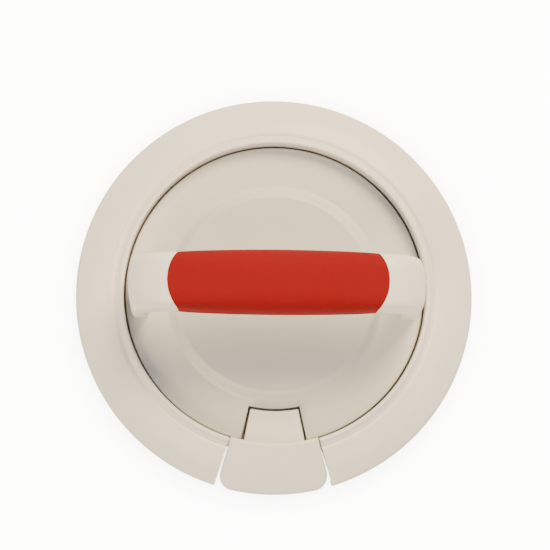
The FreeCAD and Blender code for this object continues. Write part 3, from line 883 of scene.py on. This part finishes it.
white_angles = [2 * math.pi * k / SECTION_POINTS for k in range(SECTION_POINTS)]
grip_cut = [cut_line(grip_side_x, angle, WHITE_SQUARENESS) for angle in white_angles]
shell_cut = [cut_line(LOWER_SHELL_END + 0.1, angle, WHITE_SQUARENESS) for angle in white_angles]
lower_cut = [cut_line(LOWER_SHELL_END, angle, WHITE_SQUARENESS) for angle in white_angles]


def handle_shell(name, run, low, high):
    """Closed skin through rings of (stations, stepped in or not, clamped or not), where clamped
    rings stay between two heights. The run goes from the middle to one end and is mirrored."""
    mesh = bmesh.new()
    loops = []
    for side, part in ((-1, run[::-1]), (1, run[1:])):
        for stations, stepped, clamped in part:
            loop = []
            for station, angle in zip(stations, white_angles):
                place = handle_point(station, angle, WHITE_SQUARENESS, -STEP_IN if stepped else 0.0)
                if clamped:
                    place.z = max(low, min(high, place.z))
                loop.append(mesh.verts.new((side * place.x * MM, place.y * MM, place.z * MM)))
            loops.append(loop)
    join_rows(mesh, loops)
    mesh.faces.new(loops[0])
    mesh.faces.new(loops[-1][::-1])
    bmesh.ops.remove_doubles(mesh, verts=mesh.verts, dist=WELD)
    bmesh.ops.dissolve_degenerate(mesh, dist=WELD, edges=mesh.edges)
    return finished(name, mesh, SHELL_SHARP_ANGLE)


def part_way(start, end, fraction):
    """Ring of stations a fraction of the way from one ring to another."""
    return [a + (b - a) * fraction for a, b in zip(start, end)]


LEG_RINGS = 44
middle_ring = [0.0] * SECTION_POINTS
foot_ring = [foot_station] * SECTION_POINTS
inside_run = [(part_way(middle_ring, grip_cut, k / 6), True, True) for k in range(7)]
upper_run = inside_run + [(grip_cut, False, True), (shell_cut, False, True)]
upper_run += [(part_way(shell_cut, foot_ring, k / LEG_RINGS), False, False)
              for k in range(LEG_RINGS + 1)]
upper_shell = handle_shell("handle_upper", upper_run, PARTING_Z + PARTING_GAP, math.inf)
give(upper_shell, white_pp, "press", "white_plastic", "handle_upper_shell")

lower_run = inside_run + [(grip_cut, False, True), (lower_cut, False, True)]
lower_shell = handle_shell("handle_lower", lower_run, 0, PARTING_Z - PARTING_GAP)
give(lower_shell, white_pp, "press", "white_plastic", "handle_lower_shell")


# ---------------------------------------------------------------------------------------------
# Soft grip. Red thermoplastic elastomer moulded over both shells, fuller in the middle and flush
# with the white at its ends, where the upper part ends in a curved line. Matt and velvety, with
# a very fine grain and no shine.
# ---------------------------------------------------------------------------------------------

GRIP_SQUARENESS = 3.4
GRIP_SWELL = 1.1
GRIP_SWELL_POWER = 0.8
GRIP_END_GAP = 0.08
GRIP_STATIONS = 60
GRIP_FLUSH = 0.12
GRIP_PARTING_GAP = 0.01
GRIP_SOFT_EDGE = 0.2
PARTING_OVERRUN = 0.07

red_tpe = moulded_plastic("moulded_red_elastomer", "#84070f", "#79060e", 0.8, 0.06 * MM, 0.04)
red_shader = red_tpe.node_tree.nodes["Principled BSDF"]
red_shader.inputs["Specular IOR Level"].default_value = 0.2


def grip_half(name, top):
    """Half of the grip, from one parting face to the other over the top or round the bottom."""
    mesh = bmesh.new()
    steps = SECTION_POINTS // 2
    reach = math.pi / 2 + (PARTING_OVERRUN if top else 0.0)
    angles = [(0.0 if top else math.pi) + reach * (2 * k / steps - 1) for k in range(steps + 1)]
    outer_rows, inner_rows = [], []
    for j in range(GRIP_STATIONS + 1):
        u = math.sin((j / GRIP_STATIONS - 0.5) * math.pi)
        swell = GRIP_SWELL * (1 - u * u) ** GRIP_SWELL_POWER
        outer_row, inner_row = [], []
        for angle in angles:
            end = cut_line(grip_side_x - GRIP_END_GAP, angle, WHITE_SQUARENESS)
            blend = WHITE_SQUARENESS + (GRIP_SQUARENESS - WHITE_SQUARENESS) * (1 - u ** 4)
            skin = handle_point(u * end, angle, blend, GRIP_FLUSH * (1 - u ** 8), swell)
            core = handle_point(u * end, angle, WHITE_SQUARENESS, -STEP_IN)
            for place in (skin, core):
                if top:
                    place.z = max(place.z, PARTING_Z + GRIP_PARTING_GAP)
                else:
                    place.z = min(place.z, PARTING_Z - GRIP_PARTING_GAP)
            outer_row.append(mesh.verts.new(skin * MM))
            inner_row.append(mesh.verts.new(core * MM))
        outer_rows.append(outer_row)
        inner_rows.append(inner_row)
    join_rows(mesh, outer_rows, wrap=False)
    join_rows(mesh, inner_rows, wrap=False)
    closing = []
    for k in (0, -1):
        for i in range(steps):
            closing.append(mesh.faces.new((outer_rows[k][i], outer_rows[k][i + 1],
                                           inner_rows[k][i + 1], inner_rows[k][i])))
    for k in (0, -1):
        for a, b, c, d in zip(outer_rows, outer_rows[1:], inner_rows, inner_rows[1:]):
            closing.append(mesh.faces.new((a[k], b[k], d[k], c[k])))
    skins = set()
    for rows in outer_rows:
        skins.update(rows)
    edges = set()
    for face in closing:
        for edge in face.edges:
            if edge.verts[0] in skins and edge.verts[1] in skins:
                edges.add(edge)
    bmesh.ops.recalc_face_normals(mesh, faces=mesh.faces)
    bmesh.ops.bevel(mesh, geom=list(edges), offset=GRIP_SOFT_EDGE * MM, segments=3, profile=0.5,
                    affect="EDGES")
    bmesh.ops.remove_doubles(mesh, verts=mesh.verts, dist=WELD)
    return finished(name, mesh, SHELL_SHARP_ANGLE)


grip_top = grip_half("grip_top", True)
give(grip_top, red_tpe, "press", "grip_rubber", "grip_upper")
grip_bottom = grip_half("grip_bottom", False)

# The screw holes in the underside of the grip.
SCREW_X = 22.0
HOLE_R = 3.5
DRILL_DEPTH = 12
DRILL_MIDDLE_Z = 36
drill = bmesh.new()
for side in (-1, 1):
    bmesh.ops.create_cone(drill, cap_ends=True, segments=48, radius1=HOLE_R * MM,
                          radius2=HOLE_R * MM, depth=DRILL_DEPTH * MM,
                          matrix=Matrix.Translation((side * SCREW_X * MM, 0, DRILL_MIDDLE_Z * MM)))
drill_piece = finished("drill", drill)
grip_bottom = combined(grip_bottom, "DIFFERENCE", drill_piece, merge=WELD / MM)
give(grip_bottom, red_tpe, "press", "grip_rubber", "grip_lower")

coat(red_tpe, "screw_plug_left", "screw_plug_right")


# ---------------------------------------------------------------------------------------------
# Screws. Stainless steel pan heads, turned and lightly tumbled: two up through the press plate
# into each leg, and two that close the handle's shells. They are hidden once it is assembled.
# ---------------------------------------------------------------------------------------------

# Tumbling leaves fine scuffs that break the metal's shine into small patches.
SCUFF = 0.8 * MM
steel = bpy.data.materials.new("tumbled_stainless_steel")
steel.use_nodes = True
steel_shader = steel.node_tree.nodes["Principled BSDF"]
steel_shader.inputs["Metallic"].default_value = 1.0
steel_place = add_node(steel.node_tree, "ShaderNodeTexCoord").outputs["Object"]
scuffs = add_node(steel.node_tree, "ShaderNodeTexNoise",
                  values={"Scale": 1 / SCUFF, "Detail": 4.0}, links={"Vector": steel_place})
steel_tint = add_node(steel.node_tree, "ShaderNodeMix", {"data_type": "RGBA"},
                      links={"Factor": scuffs.outputs["Fac"]})
steel_tint.inputs["A"].default_value = srgb("#9c9a96")
steel_tint.inputs["B"].default_value = srgb("#b4b2ae")
steel_colour = next(s for s in steel_tint.outputs if s.type == "RGBA")
steel.node_tree.links.new(steel_colour, steel_shader.inputs["Base Color"])
steel_gloss = add_node(steel.node_tree, "ShaderNodeMapRange",
                       values={"To Min": 0.25, "To Max": 0.45},
                       links={"Value": scuffs.outputs["Fac"]})
steel.node_tree.links.new(steel_gloss.outputs["Result"], steel_shader.inputs["Roughness"])
coat(steel, "leg_screws_left", "leg_screws_right", "grip_screws")
